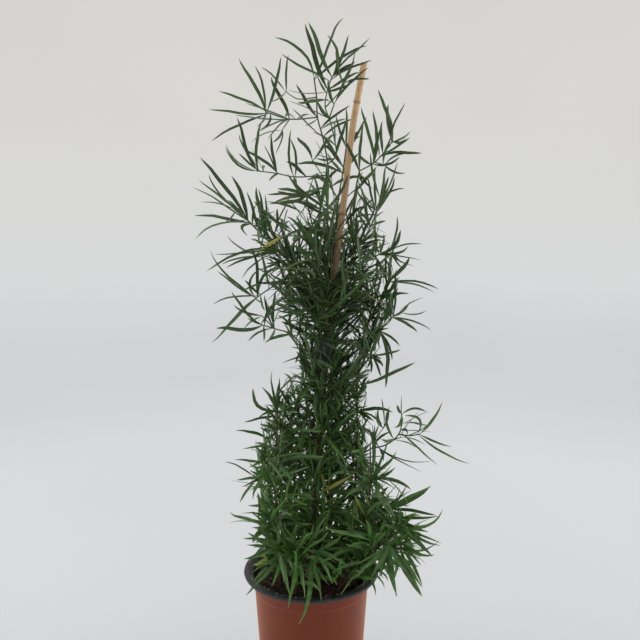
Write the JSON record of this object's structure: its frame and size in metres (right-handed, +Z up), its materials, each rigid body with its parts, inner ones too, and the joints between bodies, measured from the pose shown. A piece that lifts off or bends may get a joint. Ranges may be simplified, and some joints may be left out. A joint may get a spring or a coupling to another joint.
{
  "type": "potted sicklethorn asparagus",
  "caption": "Climbing asparagus with narrow sickle-shaped cladodes, tied up a thin bamboo cane in a round plastic nursery pot filled with soil.",
  "frame": {"origin": "middle of the pot's flat base, on the surface that it stands on", "axes": "+Z up, -Y towards the plant's best side, +X to the right of it"},
  "size_m": [0.3287, 0.2271, 0.8231],
  "materials": {
    "pot_plastic": "satin",
    "soil": "matte",
    "bamboo": "satin",
    "tie_tape": "satin",
    "foliage": "satin"
  },
  "bodies": {
    "root": {"pot": "pot_plastic", "soil": "soil", "cane": "bamboo", "tie": "tie_tape", "leader_stem": "foliage", "right_stem": "foliage", "right_upper_stem": "foliage", "left_stem": "foliage", "front_stem": "foliage", "rear_stem": "foliage", "right_free_stem": "foliage", "right_low_shoot": "foliage", "right_rim_shoot": "foliage", "left_low_shoot": "foliage", "front_rim_shoot": "foliage", "rear_low_shoot": "foliage", "rear_right_shoot": "foliage", "rear_left_shoot": "foliage"}
  },
  "joints": []
}
